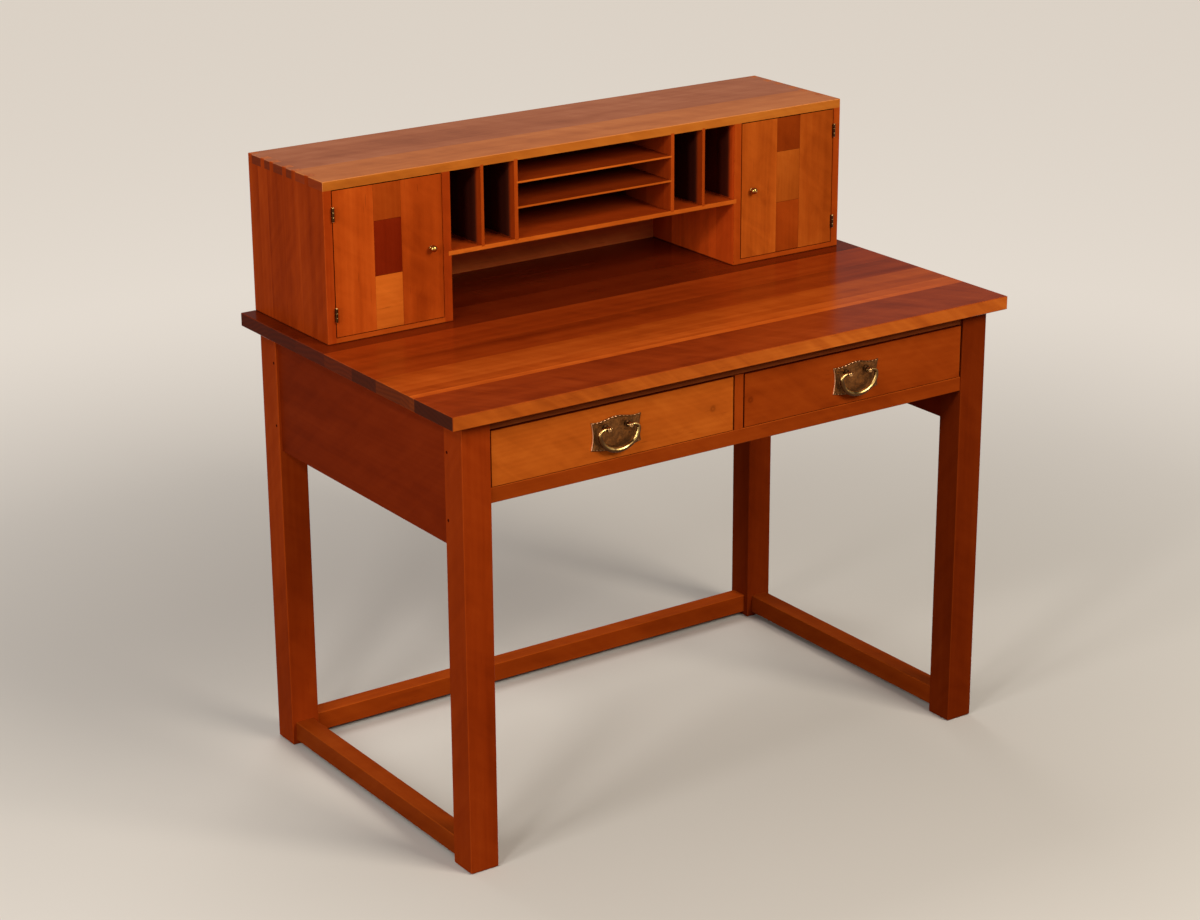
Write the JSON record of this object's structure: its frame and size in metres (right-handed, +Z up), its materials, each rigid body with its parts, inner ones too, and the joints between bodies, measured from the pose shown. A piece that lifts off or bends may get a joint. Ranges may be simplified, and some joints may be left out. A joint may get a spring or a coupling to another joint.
{
  "type": "writing desk",
  "caption": "Mission writing desk in cherry: square legs, stretchers, drawers with bail pulls, and a gallery with cabinets and pigeonholes.",
  "frame": {"origin": "on the floor, under the middle of the desktop", "axes": "+X to the right along the desk's width, +Y to the back, +Z up; the drawers and doors face -Y"},
  "size_m": [1.082, 0.658, 1.0255],
  "materials": {
    "cherry": "satin varnish",
    "dark_cherry": "satin varnish",
    "light_cherry": "satin varnish",
    "pale_wood": "sanded, thin finish",
    "bronze": "hammered, antique bronze",
    "brass": "aged brass",
    "steel": "plain steel"
  },
  "bodies": {
    "desk": {"leg_front_left": "cherry", "leg_front_right": "cherry", "leg_back_left": "cherry", "leg_back_right": "cherry", "side_apron_left": "dark_cherry", "side_apron_right": "dark_cherry", "back_apron": "dark_cherry", "upper_front_rail": "dark_cherry", "lower_front_rail": "cherry", "drawer_stile": "cherry", "side_stretcher_left": "cherry", "side_stretcher_right": "cherry", "back_stretcher": "cherry", "tenon_pegs": "dark_cherry", "drawer_runners": "pale_wood", "drawer_kickers": "pale_wood", "drawer_stops": "pale_wood", "desktop_front_board": "dark_cherry", "desktop_board_2": "light_cherry", "desktop_board_3": "cherry", "desktop_board_4": "cherry", "desktop_rear_boards": "dark_cherry", "desktop_buttons": "pale_wood", "wood_screws": "steel", "gallery_top_front_board": "light_cherry", "gallery_top_rear_board": "dark_cherry", "gallery_side_left": "dark_cherry", "gallery_side_right": "dark_cherry", "gallery_partition_left": "cherry", "gallery_partition_right": "cherry", "gallery_shelf": "cherry", "cabinet_floors": "cherry", "gallery_back_panel": "dark_cherry", "pigeonhole_dividers": "cherry", "letter_shelves": "cherry", "case_hinge_leaves": "brass", "hinge_pins": "brass", "door_catches": "steel"},
    "left_drawer": {"left_drawer_front": "cherry", "left_drawer_sides": "pale_wood", "left_drawer_back": "pale_wood", "left_drawer_bottom": "pale_wood", "left_pull_plate": "bronze", "left_pull_posts": "bronze"},
    "right_drawer": {"right_drawer_front": "cherry", "right_drawer_sides": "pale_wood", "right_drawer_back": "pale_wood", "right_drawer_bottom": "pale_wood", "right_pull_plate": "bronze", "right_pull_posts": "bronze"},
    "left_handle": {"left_bail": "bronze"},
    "right_handle": {"right_bail": "bronze"},
    "left_door": {"left_door_staves": "cherry", "left_door_blocks": "light_cherry", "left_door_knob": "brass", "left_door_hinge_leaves": "brass"},
    "right_door": {"right_door_staves": "cherry", "right_door_blocks": "light_cherry", "right_door_knob": "brass", "right_door_hinge_leaves": "brass"}
  },
  "joints": [
    {"name": "left_drawer_slide", "type": "slide", "parent": "desk", "child": "left_drawer", "axis": [0, -1, 0], "range_m": [0, 0.4]},
    {"name": "right_drawer_slide", "type": "slide", "parent": "desk", "child": "right_drawer", "axis": [0, -1, 0], "range_m": [0, 0.4]},
    {"name": "left_bail_swing", "type": "hinge", "parent": "left_drawer", "child": "left_handle", "pos_m": [-0.23625, -0.3152, 0.6835], "axis": [-1, 0, 0], "range_deg": [0, 170]},
    {"name": "right_bail_swing", "type": "hinge", "parent": "right_drawer", "child": "right_handle", "pos_m": [0.23625, -0.3152, 0.6835], "axis": [-1, 0, 0], "range_deg": [0, 170]},
    {"name": "left_door_hinge", "type": "hinge", "parent": "desk", "child": "left_door", "pos_m": [-0.49875, 0.0819, 0.891], "axis": [0, 0, 1], "range_deg": [-170, 0]},
    {"name": "right_door_hinge", "type": "hinge", "parent": "desk", "child": "right_door", "pos_m": [0.49875, 0.0819, 0.891], "axis": [0, 0, 1], "range_deg": [0, 170]}
  ]
}
